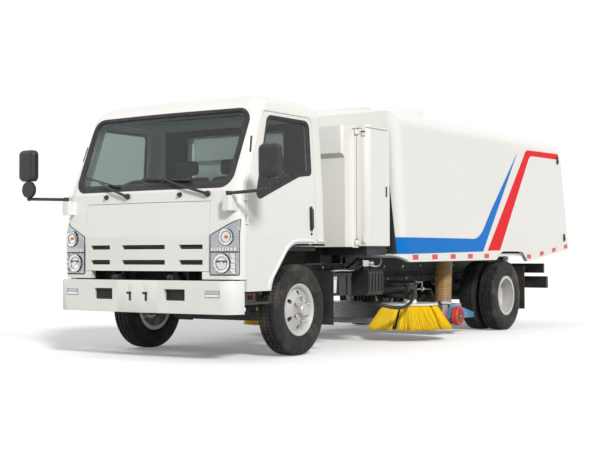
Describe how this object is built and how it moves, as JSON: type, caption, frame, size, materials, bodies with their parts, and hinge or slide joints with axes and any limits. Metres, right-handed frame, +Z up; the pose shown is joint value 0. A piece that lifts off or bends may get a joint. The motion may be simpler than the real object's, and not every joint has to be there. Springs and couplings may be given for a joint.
{
  "type": "street sweeper truck",
  "caption": "Light street sweeper truck with a tilt cab, twin rear wheels, a suction nozzle between round side brooms and a tipping dirt hopper that opens at the rear.",
  "frame": {"origin": "on the ground, on the centreline, half way along the overall length", "axes": "+X to the truck's left, -Y to its front, +Z up"},
  "size_m": [2.92, 7.0949, 2.49],
  "materials": {
    "white_paint": "gloss white paint",
    "black_paint": "satin black chassis paint",
    "rim_paint": "light grey wheel paint",
    "tyre_rubber": "road tyre rubber",
    "cab_glass": "clear tinted glass",
    "lamp_lens": "clear moulded lens",
    "black_plastic": "grained black plastic",
    "seat_cloth": "grey woven cloth",
    "engine_iron": "painted iron",
    "galvanised": "galvanised sheet",
    "amber_hose": "ribbed amber hose",
    "bristle": "yellow bristle",
    "red_rubber": "red solid rubber",
    "blue_paint": "light blue paint",
    "ram_steel": "ground rod",
    "black_rubber": "black rubber sheet"
  },
  "bodies": {
    "chassis": {"frame_rails": "black_paint", "frame_crossmembers": "black_paint", "front_axle": "black_paint", "rear_axle": "black_paint", "engines": "engine_iron", "front_bumper": "white_paint", "chassis_lamps": "lamp_lens", "rear_bumper": "black_paint", "side_tanks": "black_paint", "mudflaps": "black_rubber", "power_pod": "white_paint", "suction_nozzle": "galvanised", "suction_hoses": "amber_hose", "nozzle_brackets": "blue_paint"},
    "cab": {"cab_floor": "black_plastic", "cab_front": "white_paint", "cab_back": "white_paint", "cab_roof": "white_paint", "cab_glass": "cab_glass", "headlamps": "lamp_lens", "lamp_housings": "ram_steel", "dashboard": "black_plastic", "seats": "seat_cloth", "mirrors": "black_plastic", "wheel_arches": "black_plastic"},
    "front_lid": {"front_lid": "white_paint", "grille_slats": "black_plastic"},
    "door_left": {"door_left": "white_paint", "door_glass_left": "cab_glass"},
    "door_right": {"door_right": "white_paint", "door_glass_right": "cab_glass"},
    "steering_wheel": {"steering_wheel": "black_plastic"},
    "knuckle_left": {"knuckle_left": "black_paint"},
    "knuckle_right": {"knuckle_right": "black_paint"},
    "wheel_front_left": {"front_tyre_left": "tyre_rubber", "front_rim_left": "rim_paint"},
    "wheel_front_right": {"front_tyre_right": "tyre_rubber", "front_rim_right": "rim_paint"},
    "wheels_rear_left": {"rear_tyres_left": "tyre_rubber", "rear_rims_left": "rim_paint"},
    "wheels_rear_right": {"rear_tyres_right": "tyre_rubber", "rear_rims_right": "rim_paint"},
    "hopper": {"hopper_tub": "white_paint", "hopper_skin": "white_paint"},
    "tailgate": {"tailgate": "white_paint"},
    "ram_barrels": {"ram_barrels": "black_paint"},
    "ram_rods": {"ram_rods": "ram_steel"},
    "broom_arm_left": {"broom_arm_left": "black_paint", "feed_hose_left": "black_rubber"},
    "broom_arm_right": {"broom_arm_right": "black_paint", "feed_hose_right": "black_rubber"},
    "broom_left": {"broom_disc_left": "white_paint", "bristles_left": "bristle"},
    "broom_right": {"broom_disc_right": "white_paint", "bristles_right": "bristle"},
    "pod_door_left": {"pod_door_left": "white_paint"},
    "pod_door_right": {"pod_door_right": "white_paint"},
    "caster_left": {"caster_left": "red_rubber"},
    "caster_right": {"caster_right": "red_rubber"}
  },
  "joints": [
    {"name": "cab_tilt", "type": "hinge", "parent": "chassis", "child": "cab", "pos_m": [0, -3.46, 0.7], "axis": [1, 0, 0], "range_deg": [0, 45]},
    {"name": "front_lid_hinge", "type": "hinge", "parent": "cab", "child": "front_lid", "pos_m": [0, -3.456, 1.342], "axis": [-1, 0, 0], "range_deg": [0, 60]},
    {"name": "door_left_hinge", "type": "hinge", "parent": "cab", "child": "door_left", "pos_m": [1.008, -3.322, 1.2], "axis": [0, 0, -1], "range_deg": [0, 65]},
    {"name": "door_right_hinge", "type": "hinge", "parent": "cab", "child": "door_right", "pos_m": [-1.008, -3.322, 1.2], "axis": [0, 0, 1], "range_deg": [0, 65]},
    {"name": "steer_left", "type": "hinge", "parent": "chassis", "child": "knuckle_left", "pos_m": [0.715, -2.44, 0.405], "axis": [0, 0, 1], "range_deg": [-35, 35]},
    {"name": "steer_right", "type": "hinge", "parent": "chassis", "child": "knuckle_right", "pos_m": [-0.715, -2.44, 0.405], "axis": [0, 0, 1], "range_deg": [-35, 35]},
    {"name": "steering_wheel_turn", "type": "hinge", "parent": "cab", "child": "steering_wheel", "pos_m": [-0.45, -2.91, 1.4], "axis": [0, 0.7226, 0.6912], "range_deg": [-630, 630]},
    {"name": "wheel_front_left_spin", "type": "hinge", "parent": "knuckle_left", "child": "wheel_front_left", "pos_m": [0.84, -2.44, 0.405], "axis": [1, 0, 0], "continuous": true},
    {"name": "wheels_rear_left_spin", "type": "hinge", "parent": "chassis", "child": "wheels_rear_left", "pos_m": [0.825, 1.76, 0.405], "axis": [1, 0, 0], "continuous": true},
    {"name": "wheel_front_right_spin", "type": "hinge", "parent": "knuckle_right", "child": "wheel_front_right", "pos_m": [-0.84, -2.44, 0.405], "axis": [1, 0, 0], "continuous": true},
    {"name": "wheels_rear_right_spin", "type": "hinge", "parent": "chassis", "child": "wheels_rear_right", "pos_m": [-0.825, 1.76, 0.405], "axis": [1, 0, 0], "continuous": true},
    {"name": "hopper_tip", "type": "hinge", "parent": "chassis", "child": "hopper", "pos_m": [0, 3.06, 0.835], "axis": [-1, 0, 0], "range_deg": [0, 45]},
    {"name": "tailgate_hinge", "type": "hinge", "parent": "hopper", "child": "tailgate", "pos_m": [0, 3.20512, 2.156], "axis": [1, 0, 0], "range_deg": [0, 80]},
    {"name": "ram_barrel_pivot", "type": "hinge", "parent": "chassis", "child": "ram_barrels", "pos_m": [0, 0.31, 0.6], "axis": [1, 0, 0], "range_deg": [0, 27.26]},
    {"name": "ram_rod_slide", "type": "slide", "parent": "ram_barrels", "child": "ram_rods", "axis": [0, 0.9884, 0.1521], "range_m": [0, 0.7863]},
    {"name": "broom_arm_left_swing", "type": "hinge", "parent": "chassis", "child": "broom_arm_left", "pos_m": [0.49, -0.64, 0.55], "axis": [0, 0, -1], "range_deg": [0, 25]},
    {"name": "broom_left_spin", "type": "hinge", "parent": "broom_arm_left", "child": "broom_left", "pos_m": [0.81, -0.195, 0.38], "axis": [0, 0, 1], "continuous": true},
    {"name": "pod_door_left_hinge", "type": "hinge", "parent": "chassis", "child": "pod_door_left", "pos_m": [0.939, -1.485, 1.5], "axis": [0, 0, -1], "range_deg": [0, 90]},
    {"name": "caster_left_spin", "type": "hinge", "parent": "chassis", "child": "caster_left", "pos_m": [0.905, 0.735, 0.205], "axis": [1, 0, 0], "continuous": true},
    {"name": "broom_arm_right_swing", "type": "hinge", "parent": "chassis", "child": "broom_arm_right", "pos_m": [-0.49, -0.64, 0.55], "axis": [0, 0, 1], "range_deg": [0, 25]},
    {"name": "broom_right_spin", "type": "hinge", "parent": "broom_arm_right", "child": "broom_right", "pos_m": [-0.81, -0.195, 0.38], "axis": [0, 0, 1], "continuous": true},
    {"name": "pod_door_right_hinge", "type": "hinge", "parent": "chassis", "child": "pod_door_right", "pos_m": [-0.939, -1.485, 1.5], "axis": [0, 0, 1], "range_deg": [0, 90]},
    {"name": "caster_right_spin", "type": "hinge", "parent": "chassis", "child": "caster_right", "pos_m": [-0.905, 0.735, 0.205], "axis": [1, 0, 0], "continuous": true}
  ],
  "couplings": [
    {"joint": "steer_right", "follows": "steer_left", "ratio": 1},
    {"joint": "steering_wheel_turn", "follows": "steer_left", "ratio": 18},
    {"joint": "ram_barrel_pivot", "follows": "hopper_tip", "ratio": 0.60583},
    {"joint": "ram_rod_slide", "follows": "hopper_tip", "m_per_rad": 1.0011}
  ]
}
